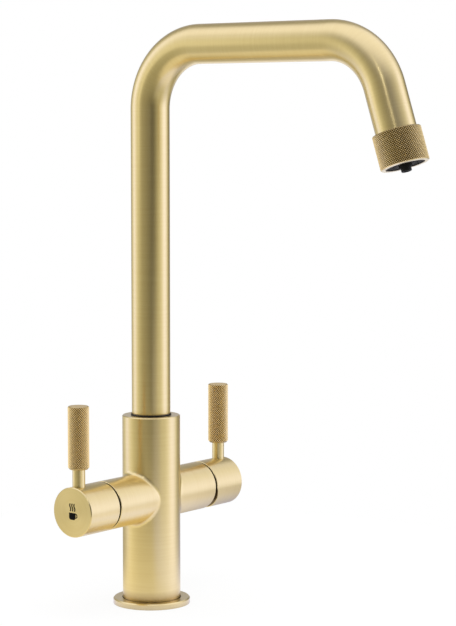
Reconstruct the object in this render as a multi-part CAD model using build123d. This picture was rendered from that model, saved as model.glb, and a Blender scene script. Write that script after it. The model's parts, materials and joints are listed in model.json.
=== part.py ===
from build123d import *
import math
import os

# Three-in-one kitchen tap: a column with two arms, a swivelling square spout, a mixer lever for
# hot and cold water on one arm, and a quarter-turn lever for boiling water on the other.
# Millimetres, +Z up. The origin is the centre of the deck ring's underside, on the deck.
# The spout points to -Y, the boiling-water arm to -X and the mixer arm to +X.

# Deck ring and its seal
deck_ring_diameter = 50.0
deck_ring_height = 3.8
deck_ring_edge = 0.7
ring_seat_height = 1.2
column_ring_gap = 0.4
seal_groove_inner_diameter = 40.5
seal_groove_width = 3.0
seal_groove_depth = 1.5

# Column and arms
column_diameter = 37.5
column_above_arms = 53.0
column_edge = 0.5
arm_diameter = 31.5
arm_height = 70.5
arm_reach = 48.6
arm_edge = 0.3
arm_blend = 3.0

# Threaded shank and the clamp under the worktop
shank_diameter = 32.0
shank_bore = 27.0
shank_socket_depth = 14.8
shank_below_deck = 62.0
shank_edge = 1.0
thread_pitch = 2.0
thread_depth = 0.9
thread_runout = 3.0
worktop_thickness = 40.0
washer_diameter = 46.0
rubber_washer_thickness = 2.0
steel_washer_thickness = 2.0
backnut_height = 9.0
backnut_flange_height = 2.5
backnut_across_flats = 38.0
thread_clearance = 0.08
washer_clearance = 0.4

# Inlets and waterways in the body
inlet_circle_radius = 8.0
inlet_bore = 9.0
inlet_depth = 12.0
waterway_bore = 6.0
cross_way_bore = 5.4
drill_overrun = 0.7
boil_outlet_bore = 5.0

# Spout socket in the column and the spigot that turns in it
socket_depth = 32.5
socket_bore = 24.6
bush_bore_diameter = 26.2
bush_above_screw = 1.0
bush_flange_thickness = 1.0
bush_wall_gap = 0.05
bush_above_column = 0.9
running_clearance = 0.06
spigot_floor_gap = 1.5
spigot_floor_thickness = 3.0
spigot_bore = 17.2
spigot_window_bore = 4.4
spigot_window_count = 4
spigot_window_radius = 6.3
spigot_neck_length = 10.0
o_ring_section = 2.0
o_ring_groove_width = 2.6
o_ring_clearance = 0.05
groove_above_floor = 1.0
groove_wall = 1.4
stop_groove_width = 4.0
stop_groove_depth = 2.0
swivel_each_way = 90.0
stop_screw_diameter = 5.0
stop_screw_tip_diameter = 3.2
stop_screw_recess = 0.6
stop_tip_clearance = 0.3
stop_end_clearance = 0.6
hex_socket_across_flats = 2.5
hex_socket_depth = 2.2

# Spout tube
tube_diameter = 25.0
tube_wall = 1.5
tube_above_column = 1.1
tube_end_round = 0.4
spout_height = 361.3
bend_radius = 40.6
spout_reach = 193.5
tail_lean = 17.8
tail_length = 27.5
fit_gap = 0.05
cut_margin = 1.0

# Inner hose for boiling water and its two ends
hose_diameter = 8.0
hose_bore = 5.5
nipple_flange_diameter = 10.0
nipple_flange_thickness = 1.5
nipple_barb_length = 8.0
nipple_bore = 3.0
nipple_reach = 6.0
nipple_floor_gap = 1.0
nipple_seal_section = 0.9

# Nozzle
collar_diameter = 29.6
collar_length = 21.0
collar_edge = 0.6
collar_lip = 1.0
collar_lip_bore = 22.0
collar_thread_bore = 23.6
tube_in_collar = 4.0
insert_neck_length = 10.0
insert_thread_length = 9.0
insert_bore = 17.0
aerator_seal_thickness = 1.6
straightener_thickness = 2.4
aerator_wall = 1.4
aerator_hole_count = 14
aerator_hole_bore = 2.4
aerator_hole_radius = 7.0
grid_thickness = 0.8
grid_recess = 0.3
grid_hole_count = 22
grid_hole_bore = 1.3
grid_hole_radius = 7.6
outlet_diameter = 8.0
outlet_bore = 4.4
outlet_shoulder_proud = 1.4
outlet_tip_diameter = 6.4
outlet_tip_edge = 0.4
outlet_proud = 3.6

# Knobs and levers
knob_gap = 1.4
knob_reach = 77.5
knob_edge = 0.5
knob_cavity_diameter = 25.2
knob_cavity_depth = 10.0
knob_screw_diameter = 4.0
knob_screw_recess = 1.0
lever_from_end = 6.3
lever_stem_diameter = 8.0
lever_stem_socket = 10.0
grip_diameter = 13.4
grip_above_arm = 26.5
grip_length = 39.7
grip_bottom_edge = 1.1
grip_top_edge = 0.6
grip_thread_diameter = 6.0
grip_thread_length = 14.0

# Quarter-turn valve for boiling water
boil_pocket_bore = 18.0
boil_pocket_depth = 27.0
boil_lip_seal_bore = 8.4
boil_lip_seal_thickness = 2.5
boil_lip_seal_wall_gap = 0.6
boil_shell_waist_diameter = 16.0
boil_shell_waist_length = 10.0
boil_shell_bore = 14.0
boil_hex_across_flats = 19.0
boil_hex_height = 4.5
boil_disc_diameter = 13.6
boil_disc_thickness = 3.0
boil_port_inner_radius = 1.4
boil_port_outer_radius = 5.6
boil_port_angle = 80.0
boil_window_bore = 3.2
boil_window_count = 4
disc_running_gap = 0.05
spindle_diameter = 7.0
spindle_head_diameter = 13.0
spindle_head_thickness = 2.6
spindle_tongue_width = 3.0
spindle_tongue_depth = 1.2
spindle_in_knob = 7.0
spindle_seal_section = 1.4
spindle_seal_depth = 7.0

# Mixer cartridge
mixer_pocket_bore = 25.4
mixer_pocket_depth = 28.0
cartridge_diameter = 24.8
mixer_seal_thickness = 1.4
mixer_seal_proud = 0.4
mixer_seal_width = 1.2
mixer_base_thickness = 4.8
mixer_port_offset = 7.0
mixer_port_bore = 5.2
mixer_disc_diameter = 21.4
mixer_disc_thickness = 3.0
moving_disc_diameter = 16.0
moving_disc_pocket_depth = 1.4
moving_disc_pocket_diameter = 11.4
carrier_thickness = 4.0
shell_bore = 22.0
shell_neck_bore = 17.0
shell_neck_length = 5.6
holder_flange_thickness = 2.4
holder_proud = 1.5
holder_axial_gap = 0.15
nut_height = 4.0
nut_bore = 17.6
nut_notch_count = 6
nut_notch_width = 2.6
nut_notch_depth = 1.6
pivot_below_shell_end = 3.0
pivot_pin_diameter = 2.6
pin_end_gap = 0.3
ball_diameter = 5.0
ball_below_pivot = 7.0
ball_clearance = 0.12
mixer_neck_diameter = 4.0
mixer_stem_width = 6.0
stem_side_gap = 0.1
tilt_range = 15.0
tilt_relief = 0.5
tilt_spare_angle = 2.0
stem_in_knob = 8.0

# Radii and places worked out from the sizes above
column_height = arm_height + column_above_arms
column_r = column_diameter / 2
arm_r = arm_diameter / 2
shank_r = shank_diameter / 2
shank_top = ring_seat_height + shank_socket_depth
socket_floor_height = column_height - socket_depth
socket_r = socket_bore / 2
tube_r = tube_diameter / 2
tube_bore_r = tube_r - tube_wall
tube_start = column_height + tube_above_column
spigot_r = socket_r - running_clearance
spigot_bottom = socket_floor_height + spigot_floor_gap
lower_groove_low = spigot_bottom + spigot_floor_thickness + groove_above_floor
lower_o_ring_height = lower_groove_low + o_ring_groove_width / 2
upper_o_ring_height = lower_o_ring_height + o_ring_groove_width + groove_wall
stop_groove_low = upper_o_ring_height + o_ring_groove_width / 2 + groove_wall
stop_groove_height = stop_groove_low + stop_groove_width / 2
bush_seat_height = stop_groove_height + stop_screw_diameter / 2 + bush_above_screw
lean = math.radians(tail_lean)
bends_reach = bend_radius + bend_radius * math.cos(lean)
run_length = spout_reach - bends_reach - (tail_length + collar_length) * math.sin(lean)
hose_r = hose_diameter / 2
hose_start = spigot_bottom + spigot_floor_thickness + nipple_flange_thickness
knob_rim = arm_reach + knob_gap
knob_hub = knob_rim + knob_cavity_depth
lever_reach = knob_reach - lever_from_end
grip_bottom_height = arm_height + grip_above_arm
grip_top_height = grip_bottom_height + grip_length
boil_pocket_floor = arm_reach - boil_pocket_depth
mixer_pocket_floor = arm_reach - mixer_pocket_depth
inlet_angles = {"hot": 60.0, "cold": -60.0, "boil": 180.0}
inlet_places = {
    name: (
        inlet_circle_radius * math.cos(math.radians(angle)),
        inlet_circle_radius * math.sin(math.radians(angle)),
    )
    for name, angle in inlet_angles.items()
}
hot_cold_side = inlet_circle_radius * math.sin(math.radians(inlet_angles["hot"]))

# Each arm has a frame of its own: local z runs out along the arm and local x points up.
mixer_arm = Plane(origin=(0, 0, arm_height), x_dir=(0, 0, 1), z_dir=(1, 0, 0))
boil_arm = Plane(origin=(0, 0, arm_height), x_dir=(0, 0, 1), z_dir=(-1, 0, 0))


def turned(*points):
    """A solid of revolution about Z from an outline of (radius, height) points."""
    outline = Polyline(*[(radius, 0, height) for radius, height in points], close=True)
    return revolve(make_face(outline), axis=Axis.Z)


def rod(radius, low, high):
    """A plain round bar along Z."""
    return extrude(Plane((0, 0, low)) * Circle(radius), amount=high - low)


def tube(outer, inner, low, high):
    """A plain round sleeve along Z."""
    ring = Circle(outer) - Circle(inner)
    return extrude(Plane((0, 0, low)) * ring, amount=high - low)


def prism(sketch, low, high):
    """A flat outline drawn out along Z."""
    return extrude(Plane((0, 0, low)) * sketch, amount=high - low)


def drill(radius, start, end):
    """A round bar between two points, for drilled ways."""
    direction = Vector(*end) - Vector(*start)
    face = Plane(origin=start, z_dir=direction) * Circle(radius)
    return extrude(face, amount=direction.length)


def o_ring(centre_radius, section, height):
    """A round sealing ring about Z."""
    face = Plane.XZ * Pos(centre_radius, height) * Circle(section / 2)
    return revolve(face, axis=Axis.Z)


def hexagon(across_flats):
    """A regular six-sided outline, given its size across the flats."""
    return RegularPolygon(radius=across_flats / 2, side_count=6, major_radius=False)


def ring_of(shape, count, radius):
    """Copies of a shape set evenly on a circle about Z."""
    return [place * shape for place in PolarLocations(radius, count)]


# Body, deck ring and shank


def tap_body():
    column = turned(
        (0, ring_seat_height),
        (column_r, ring_seat_height),
        (column_r, column_height - column_edge),
        (column_r - column_edge, column_height),
        (0, column_height),
    )
    arm = turned(
        (0, 0),
        (arm_r, 0),
        (arm_r, arm_reach - arm_edge),
        (arm_r - arm_edge, arm_reach),
        (0, arm_reach),
    )
    body = column + mixer_arm * arm + boil_arm * arm
    joins = [e for e in body.edges() if e.geom_type not in (GeomType.LINE, GeomType.CIRCLE)]
    body = fillet(joins, arm_blend)

    socket = rod(socket_r, socket_floor_height, column_height)
    socket += rod(bush_bore_diameter / 2, bush_seat_height, column_height)
    shank_socket = rod(shank_r + thread_clearance, ring_seat_height, shank_top)
    boil_pocket = boil_arm * rod(boil_pocket_bore / 2, boil_pocket_floor, arm_reach)
    mixer_pocket = mixer_arm * rod(mixer_pocket_bore / 2, mixer_pocket_floor, arm_reach)
    body -= [socket, shank_socket, boil_pocket, mixer_pocket]
    body -= waterways()
    stop_way = drill(
        stop_screw_diameter / 2 + fit_gap, (0, 0, stop_groove_height), (0, column_r, stop_groove_height)
    )
    return body - stop_way


def waterways():
    """The inlets and the drilled ways from them to the valves and on to the spout socket."""
    way = waterway_bore / 2
    cross = cross_way_bore / 2
    reach = way + drill_overrun
    inlet_top = shank_top + inlet_depth
    ways = []
    for x, y in inlet_places.values():
        ways.append(Pos(x, y) * rod(inlet_bore / 2, shank_top, inlet_top))
        ways.append(Pos(x, y) * rod(way, inlet_top, arm_height + reach))
    hot_x = inlet_places["hot"][0]
    for side in (hot_cold_side, -hot_cold_side):
        ways.append(drill(cross, (hot_x, side, arm_height), (mixer_pocket_floor, side, arm_height)))
    boil_x = inlet_places["boil"][0]
    ways.append(drill(cross, (boil_x, 0, arm_height), (-boil_pocket_floor, 0, arm_height)))
    mixed_height = arm_height + mixer_port_offset
    ways.append(
        drill(cross, (inlet_circle_radius, 0, mixed_height), (mixer_pocket_floor, 0, mixed_height))
    )
    ways.append(Pos(inlet_circle_radius, 0) * rod(way, mixed_height - reach, socket_floor_height))
    nipple_floor = socket_floor_height - nipple_reach
    boil_exit = boil_pocket_floor + boil_lip_seal_thickness + boil_disc_thickness
    ways.append(
        drill(
            boil_outlet_bore / 2,
            (-boil_exit, 0, arm_height + boil_shell_waist_diameter / 2),
            (0, 0, nipple_floor),
        )
    )
    ways.append(rod(way, nipple_floor - reach, socket_floor_height))
    return ways


def base_ring():
    outer = deck_ring_diameter / 2
    hole = shank_r + washer_clearance
    counterbore = column_r + column_ring_gap
    ring = turned(
        (hole, 0),
        (outer, 0),
        (outer, deck_ring_height - deck_ring_edge),
        (outer - deck_ring_edge, deck_ring_height),
        (counterbore, deck_ring_height),
        (counterbore, ring_seat_height),
        (hole, ring_seat_height),
    )
    inner = seal_groove_inner_diameter / 2
    return ring - tube(inner + seal_groove_width, inner, 0, seal_groove_depth)


def base_seal():
    inner = seal_groove_inner_diameter / 2
    return tube(inner + seal_groove_width - fit_gap, inner + fit_gap, 0, seal_groove_depth)


def mounting_shank():
    """A hollow stud. Its thread is drawn as a row of ring grooves up to just below the deck."""
    bore = shank_bore / 2
    thread_low = shank_edge - shank_below_deck
    grooves = int((-thread_runout - thread_low) / thread_pitch)
    outline = [(bore, -shank_below_deck), (shank_r - shank_edge, -shank_below_deck)]
    for i in range(grooves):
        crest = thread_low + i * thread_pitch
        outline += [(shank_r, crest), (shank_r - thread_depth, crest + thread_pitch / 2)]
    outline.append((shank_r, thread_low + grooves * thread_pitch))
    return turned(*outline, (shank_r, shank_top), (bore, shank_top))


# Clamp under the worktop


def clamp_washer(top, thickness):
    return tube(washer_diameter / 2, shank_r + washer_clearance, top - thickness, top)


def rubber_washer():
    return clamp_washer(-worktop_thickness, rubber_washer_thickness)


def steel_washer():
    return clamp_washer(-worktop_thickness - rubber_washer_thickness, steel_washer_thickness)


def backnut():
    top = -worktop_thickness - rubber_washer_thickness - steel_washer_thickness
    flange = rod(washer_diameter / 2, top - backnut_flange_height, top)
    nut = prism(hexagon(backnut_across_flats), top - backnut_height, top)
    return flange + nut - rod(shank_r + thread_clearance, top - backnut_height, top)


# Swivel joint of the spout


def glide_bush():
    outer = bush_bore_diameter / 2 - bush_wall_gap
    inner = tube_r + running_clearance
    lip = socket_r - fit_gap
    top = column_height + bush_above_column
    shelf = bush_seat_height + bush_flange_thickness
    return turned(
        (lip, bush_seat_height),
        (outer, bush_seat_height),
        (outer, top),
        (inner, top),
        (inner, shelf),
        (lip, shelf),
    )


def stop_screw():
    tip_end = spigot_r - stop_groove_depth + stop_tip_clearance
    shoulder = spigot_r + fit_gap
    outer = column_r - stop_screw_recess
    screw = turned(
        (0, tip_end),
        (stop_screw_tip_diameter / 2, tip_end),
        (stop_screw_tip_diameter / 2, shoulder),
        (stop_screw_diameter / 2, shoulder),
        (stop_screw_diameter / 2, outer),
        (0, outer),
    )
    screw -= prism(hexagon(hex_socket_across_flats), outer - hex_socket_depth, outer)
    back = Plane(origin=(0, 0, stop_groove_height), x_dir=(1, 0, 0), z_dir=(0, 1, 0))
    return back * screw


def swivel_spigot():
    shelf = bush_seat_height + bush_flange_thickness + fit_gap
    neck = tube_bore_r - fit_gap
    bore = spigot_bore / 2
    floor_top = spigot_bottom + spigot_floor_thickness
    spigot = turned(
        (0, spigot_bottom),
        (spigot_r, spigot_bottom),
        (spigot_r, shelf),
        (tube_r, shelf),
        (tube_r, tube_start),
        (neck, tube_start),
        (neck, tube_start + spigot_neck_length),
        (bore, tube_start + spigot_neck_length),
        (bore, floor_top),
        (0, floor_top),
    )
    groove_r = spigot_r - o_ring_section - o_ring_clearance
    for height in (lower_o_ring_height, upper_o_ring_height):
        half = o_ring_groove_width / 2
        spigot -= tube(spigot_r + cut_margin, groove_r, height - half, height + half)
    spigot -= rod(waterway_bore / 2 + fit_gap, spigot_bottom, floor_top)
    window = rod(spigot_window_bore / 2, spigot_bottom, floor_top)
    spigot -= ring_of(window, spigot_window_count, spigot_window_radius)
    return spigot - stop_groove()


def stop_groove():
    """A groove round part of the spigot: its two ends meet the stop screw's tip and end the swivel."""
    bottom = spigot_r - stop_groove_depth
    tip_angle = math.degrees(math.asin(stop_screw_tip_diameter / 2 / bottom)) + stop_end_clearance
    half = stop_groove_width / 2
    section = Polyline(
        (bottom, 0, stop_groove_height - half),
        (column_r, 0, stop_groove_height - half),
        (column_r, 0, stop_groove_height + half),
        (bottom, 0, stop_groove_height + half),
        close=True,
    )
    sweep_angle = 2 * (swivel_each_way + tip_angle)
    groove = revolve(make_face(section), axis=Axis.Z, revolution_arc=sweep_angle)
    return Rot(0, 0, 90 - sweep_angle / 2) * groove


def spigot_o_rings():
    centre = spigot_r + o_ring_clearance / 2 - o_ring_section / 2
    return [o_ring(centre, o_ring_section, h) for h in (lower_o_ring_height, upper_o_ring_height)]


# Spout


def spout_path(start, beyond):
    """Up the column's axis, over two bends and down the leaning tail, in the YZ plane."""
    turn = 90 - tail_lean
    with BuildLine(Plane.YZ) as path:
        rise = Line((0, start), (0, spout_height - bend_radius))
        first = JernArc(rise @ 1, rise % 1, bend_radius, 90)
        run = Line(first @ 1, (first @ 1) + run_length * (first % 1))
        second = JernArc(run @ 1, run % 1, bend_radius, turn)
        Line(second @ 1, (second @ 1) + (tail_length + beyond) * (second % 1))
    return path.wire()


def swept_rod(radius, start, beyond):
    return sweep(Plane((0, 0, start)) * Circle(radius), path=spout_path(start, beyond))


def nozzle_plane():
    """The nozzle's own frame: local z runs out of the spout, from the collar's upper end."""
    path = spout_path(tube_start, 0)
    return Plane(origin=path @ 1, x_dir=(1, 0, 0), z_dir=path % 1)


nozzle = nozzle_plane()
insert_end = tube_in_collar + insert_thread_length
aerator_top = insert_end + aerator_seal_thickness
aerator_shoulder = collar_length - collar_lip
barb_top = insert_end - nipple_barb_length


def spout_tube():
    solid = swept_rod(tube_r, tube_start, tube_in_collar)
    lower_rim = solid.faces().sort_by(Axis.Z)[0].outer_wire().edges()
    solid = fillet(lower_rim, tube_end_round)
    return solid - swept_rod(tube_bore_r, tube_start, tube_in_collar)


def boil_hose():
    solid = swept_rod(hose_r, hose_start, insert_end)
    return solid - swept_rod(hose_bore / 2, hose_start, insert_end)


def boil_nipple():
    """Turns in the body's centre bore and carries the hose on its barb."""
    way = nipple_bore / 2
    stem = waterway_bore / 2 - running_clearance
    flange_low = hose_start - nipple_flange_thickness
    bottom = socket_floor_height - nipple_reach + nipple_floor_gap
    nipple = turned(
        (way, bottom),
        (stem, bottom),
        (stem, flange_low),
        (nipple_flange_diameter / 2, flange_low),
        (nipple_flange_diameter / 2, hose_start),
        (hose_bore / 2 - fit_gap, hose_start),
        (hose_bore / 2 - fit_gap, hose_start + nipple_barb_length),
        (way, hose_start + nipple_barb_length),
    )
    seal_height = socket_floor_height - nipple_reach / 2
    half = nipple_seal_section / 2 + fit_gap
    low, high = seal_height - half, seal_height + half
    return nipple - tube(stem + cut_margin, stem - nipple_seal_section, low, high)


def boil_nipple_seal():
    stem = waterway_bore / 2 - running_clearance
    centre = stem - nipple_seal_section / 2 + o_ring_clearance
    return o_ring(centre, nipple_seal_section, socket_floor_height - nipple_reach / 2)


def nozzle_insert():
    bore = insert_bore / 2
    neck = tube_bore_r - fit_gap
    thread = collar_thread_bore / 2 - thread_clearance
    return nozzle * turned(
        (bore, tube_in_collar - insert_neck_length),
        (neck, tube_in_collar - insert_neck_length),
        (neck, tube_in_collar),
        (thread, tube_in_collar),
        (thread, insert_end),
        (bore, insert_end),
    )


def nozzle_collar():
    outer = collar_diameter / 2
    collar = turned(
        (tube_r + fit_gap, 0),
        (outer - collar_edge, 0),
        (outer, collar_edge),
        (outer, collar_length - collar_edge),
        (outer - collar_edge, collar_length),
        (collar_lip_bore / 2, collar_length),
        (collar_lip_bore / 2, aerator_shoulder),
        (collar_thread_bore / 2, aerator_shoulder),
        (collar_thread_bore / 2, tube_in_collar),
        (tube_r + fit_gap, tube_in_collar),
    )
    return nozzle * collar


def aerator_seal():
    outer = collar_thread_bore / 2 - thread_clearance
    return nozzle * tube(outer, insert_bore / 2, insert_end, aerator_top)


def aerator_body():
    """A cup with a drilled floor that straightens the flow, and a hole for the boiling outlet."""
    outer = collar_thread_bore / 2 - thread_clearance
    nose = collar_lip_bore / 2 - thread_clearance
    nose_end = collar_length - grid_recess
    body = turned(
        (outlet_diameter / 2 + fit_gap, aerator_top),
        (outer, aerator_top),
        (outer, aerator_shoulder),
        (nose, aerator_shoulder),
        (nose, nose_end),
        (nose - aerator_wall, nose_end),
        (nose - aerator_wall, aerator_top + straightener_thickness),
        (outlet_diameter / 2 + fit_gap, aerator_top + straightener_thickness),
    )
    hole = rod(aerator_hole_bore / 2, aerator_top, aerator_top + straightener_thickness)
    return nozzle * (body - ring_of(hole, aerator_hole_count, aerator_hole_radius))


def aerator_grid():
    """A perforated plate across the mouth of the aerator."""
    outer = collar_lip_bore / 2 - thread_clearance - aerator_wall - fit_gap
    high = collar_length - grid_recess
    low = high - grid_thickness
    hole = rod(grid_hole_bore / 2, low, high)
    plate = tube(outer, outlet_diameter / 2 + fit_gap, low, high)
    return nozzle * (plate - ring_of(hole, grid_hole_count, grid_hole_radius))


def boil_outlet():
    """The separate tip for boiling water, in the middle of the aerator."""
    outer = outlet_diameter / 2
    tip = outlet_tip_diameter / 2
    barb = hose_bore / 2 - fit_gap
    way = outlet_bore / 2
    shoulder = collar_length + outlet_shoulder_proud
    end = collar_length + outlet_proud
    return nozzle * turned(
        (way, barb_top),
        (barb, barb_top),
        (barb, insert_end),
        (outer, insert_end),
        (outer, shoulder),
        (tip, shoulder),
        (tip, end - outlet_tip_edge),
        (tip - outlet_tip_edge, end),
        (way, end),
    )


# Knobs and levers, each in its arm's frame


def knob_blank():
    """A round knob with a cavity towards the arm, a lever hole on top and a screw hole below."""
    knob = turned(
        (0, knob_rim),
        (arm_r - arm_edge, knob_rim),
        (arm_r, knob_rim + arm_edge),
        (arm_r, knob_reach - knob_edge),
        (arm_r - knob_edge, knob_reach),
        (0, knob_reach),
    )
    knob -= rod(knob_cavity_diameter / 2, knob_rim, knob_hub)
    lever_hole = drill(
        lever_stem_diameter / 2 + fit_gap,
        (arm_r - lever_stem_socket, 0, lever_reach),
        (2 * arm_r, 0, lever_reach),
    )
    return knob - lever_hole - knob_screw_hole()


def knob_screw_reach():
    return knob_hub + knob_screw_diameter


def knob_screw_hole():
    reach = knob_screw_reach()
    return drill(knob_screw_diameter / 2 + fit_gap, (0, 0, reach), (-2 * arm_r, 0, reach))


def knob_screw(shaft_half_width):
    """A grub screw that comes up from below and bears on the shaft in the knob."""
    tip = shaft_half_width + fit_gap
    outer = arm_r - knob_screw_recess
    screw = rod(knob_screw_diameter / 2, tip, outer)
    screw -= prism(hexagon(hex_socket_across_flats), outer - hex_socket_depth, outer)
    return Plane(origin=(0, 0, knob_screw_reach()), x_dir=(0, 0, 1), z_dir=(-1, 0, 0)) * screw


def lever_stem():
    bottom = arm_height + arm_r - lever_stem_socket
    thread = grip_thread_diameter / 2
    return turned(
        (0, bottom),
        (lever_stem_diameter / 2, bottom),
        (lever_stem_diameter / 2, grip_bottom_height),
        (thread, grip_bottom_height),
        (thread, grip_bottom_height + grip_thread_length),
        (0, grip_bottom_height + grip_thread_length),
    )


def lever_grip():
    outer = grip_diameter / 2
    bore = grip_thread_diameter / 2 + fit_gap
    bore_top = grip_bottom_height + grip_thread_length + fit_gap
    return turned(
        (bore, grip_bottom_height),
        (outer - grip_bottom_edge, grip_bottom_height),
        (outer, grip_bottom_height + grip_bottom_edge),
        (outer, grip_top_height - grip_top_edge),
        (outer - grip_top_edge, grip_top_height),
        (0, grip_top_height),
        (0, bore_top),
        (bore, bore_top),
    )


# Quarter-turn valve for boiling water

spindle_seal_reach = arm_reach - spindle_seal_depth
boil_disc_low = boil_pocket_floor + boil_lip_seal_thickness
boil_disc_high = boil_disc_low + boil_disc_thickness
boil_moving_low = boil_disc_high + disc_running_gap
boil_moving_high = boil_moving_low + boil_disc_thickness
spindle_head_high = boil_moving_high + spindle_head_thickness


def boil_knob():
    bore = spindle_diameter / 2 + fit_gap
    return boil_arm * (knob_blank() - rod(bore, knob_rim, knob_hub + spindle_in_knob))


def boil_valve_shell():
    """A threaded shell with a hexagon head: it holds the two discs and guides the spindle."""
    thread = boil_pocket_bore / 2 - thread_clearance
    waist_end = boil_disc_low + boil_shell_waist_length
    head_end = arm_reach + boil_hex_height
    shell = turned(
        (0, boil_disc_low),
        (boil_shell_waist_diameter / 2, boil_disc_low),
        (boil_shell_waist_diameter / 2, waist_end),
        (thread, waist_end),
        (thread, arm_reach),
        (0, arm_reach),
    )
    shell += prism(hexagon(boil_hex_across_flats), arm_reach, head_end)
    shell -= rod(boil_shell_bore / 2, boil_disc_low, spindle_head_high + running_clearance)
    shell -= rod(spindle_diameter / 2 + running_clearance, boil_disc_low, head_end)
    seal_half = spindle_seal_section / 2 + fit_gap
    seal_outer = spindle_diameter / 2 + running_clearance + spindle_seal_section
    shell -= rod(seal_outer, spindle_seal_reach - seal_half, spindle_seal_reach + seal_half)
    window = drill(
        boil_window_bore / 2,
        (0, 0, boil_moving_low + boil_disc_thickness / 2),
        (boil_pocket_bore, 0, boil_moving_low + boil_disc_thickness / 2),
    )
    shell -= [Rot(0, 0, 360 * i / boil_window_count) * window for i in range(boil_window_count)]
    return boil_arm * shell


def boil_lip_seal():
    outer = boil_pocket_bore / 2 - boil_lip_seal_wall_gap
    return boil_arm * tube(outer, boil_lip_seal_bore / 2, boil_pocket_floor, boil_disc_low)


def boil_port(low, high, turn):
    """Two opposite sector windows through a ceramic disc."""
    half = math.radians(boil_port_angle / 2)
    inner = boil_port_inner_radius
    outer = boil_port_outer_radius
    outline = Line(
        (inner * math.cos(half), -inner * math.sin(half)), (outer * math.cos(half), -outer * math.sin(half))
    )
    outline += CenterArc((0, 0), outer, -boil_port_angle / 2, boil_port_angle)
    outline += Line(
        (outer * math.cos(half), outer * math.sin(half)), (inner * math.cos(half), inner * math.sin(half))
    )
    outline += CenterArc((0, 0), inner, boil_port_angle / 2, -boil_port_angle)
    window = prism(make_face(outline), low, high)
    return [Rot(0, 0, turn) * window, Rot(0, 0, turn + 180) * window]


def boil_fixed_disc():
    disc = rod(boil_disc_diameter / 2, boil_disc_low, boil_disc_high)
    return boil_arm * (disc - boil_port(boil_disc_low, boil_disc_high, 0))


def boil_moving_disc():
    disc = rod(boil_disc_diameter / 2, boil_moving_low, boil_moving_high)
    disc -= boil_port(boil_moving_low, boil_moving_high, 90)
    return boil_arm * (disc - spindle_tongue(fit_gap))


def spindle_tongue(gap):
    """The bar on the spindle's head that turns the moving disc, or with a gap its slot."""
    width = spindle_tongue_width + 2 * gap
    low = boil_moving_high - spindle_tongue_depth - gap
    return prism(Rectangle(width, boil_disc_diameter), low, boil_moving_high)


def boil_spindle():
    end = knob_hub + spindle_in_knob - fit_gap
    spindle = rod(spindle_head_diameter / 2, boil_moving_high, spindle_head_high)
    spindle += rod(spindle_diameter / 2, spindle_head_high, end)
    tongue = spindle_tongue(0) & rod(spindle_head_diameter / 2, boil_disc_low, boil_moving_high)
    return boil_arm * (spindle + tongue)


def boil_spindle_seal():
    centre = spindle_diameter / 2 + running_clearance + spindle_seal_section / 2
    return boil_arm * o_ring(centre, spindle_seal_section, spindle_seal_reach)


# Mixer cartridge

mixer_base_low = mixer_pocket_floor + mixer_seal_proud
mixer_base_high = mixer_base_low + mixer_base_thickness
mixer_disc_high = mixer_base_high + mixer_disc_thickness
moving_disc_low = mixer_disc_high + disc_running_gap
moving_disc_high = moving_disc_low + mixer_disc_thickness
carrier_high = moving_disc_high + carrier_thickness
shell_reach = arm_reach - nut_height
shell_shoulder_reach = shell_reach - shell_neck_length
pivot_reach = shell_reach - pivot_below_shell_end
holder_flange_high = shell_shoulder_reach - holder_axial_gap
holder_flange_low = holder_flange_high - holder_flange_thickness
holder_reach = shell_reach + holder_proud
ball_reach = pivot_reach - ball_below_pivot
mixer_port_places = [(0, hot_cold_side), (0, -hot_cold_side), (mixer_port_offset, 0)]


def mixer_ports(radius, low, high):
    return [Pos(x, y) * rod(radius, low, high) for x, y in mixer_port_places]


def mixer_base_seals():
    inner = mixer_port_bore / 2
    top = mixer_pocket_floor + mixer_seal_thickness
    ring = tube(inner + mixer_seal_width, inner, mixer_pocket_floor, top)
    return [mixer_arm * Pos(x, y) * ring for x, y in mixer_port_places]


def mixer_cartridge_base():
    base = rod(cartridge_diameter / 2, mixer_base_low, mixer_base_high)
    base -= mixer_ports(mixer_port_bore / 2, mixer_base_low, mixer_base_high)
    seat = mixer_port_bore / 2 + mixer_seal_width + fit_gap
    base -= mixer_ports(seat, mixer_base_low, mixer_pocket_floor + mixer_seal_thickness)
    return mixer_arm * base


def mixer_fixed_disc():
    disc = rod(mixer_disc_diameter / 2, mixer_base_high, mixer_disc_high)
    return mixer_arm * (disc - mixer_ports(mixer_port_bore / 2, mixer_base_high, mixer_disc_high))


def mixer_moving_disc():
    """Its hollow underside joins the ports of the fixed disc when the lever moves it."""
    disc = rod(moving_disc_diameter / 2, moving_disc_low, moving_disc_high)
    chamber_top = moving_disc_low + moving_disc_pocket_depth
    chamber = rod(moving_disc_pocket_diameter / 2, moving_disc_low, chamber_top)
    return mixer_arm * (disc - chamber)


def mixer_disc_carrier():
    carrier = rod(moving_disc_diameter / 2, moving_disc_high, carrier_high)
    return mixer_arm * (carrier - rod(ball_diameter / 2 + ball_clearance, moving_disc_high, carrier_high))


def mixer_cartridge_shell():
    shell = turned(
        (shell_bore / 2, mixer_base_high),
        (cartridge_diameter / 2, mixer_base_high),
        (cartridge_diameter / 2, shell_reach),
        (shell_neck_bore / 2, shell_reach),
        (shell_neck_bore / 2, shell_shoulder_reach),
        (shell_bore / 2, shell_shoulder_reach),
    )
    return mixer_arm * shell


def mixer_retaining_nut():
    outer = mixer_pocket_bore / 2 - thread_clearance
    nut = tube(outer, nut_bore / 2, shell_reach, arm_reach)
    notch = prism(Rectangle(2 * nut_notch_depth, nut_notch_width), shell_reach + nut_notch_depth, arm_reach)
    return mixer_arm * (nut - ring_of(notch, nut_notch_count, nut_bore / 2))


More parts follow.
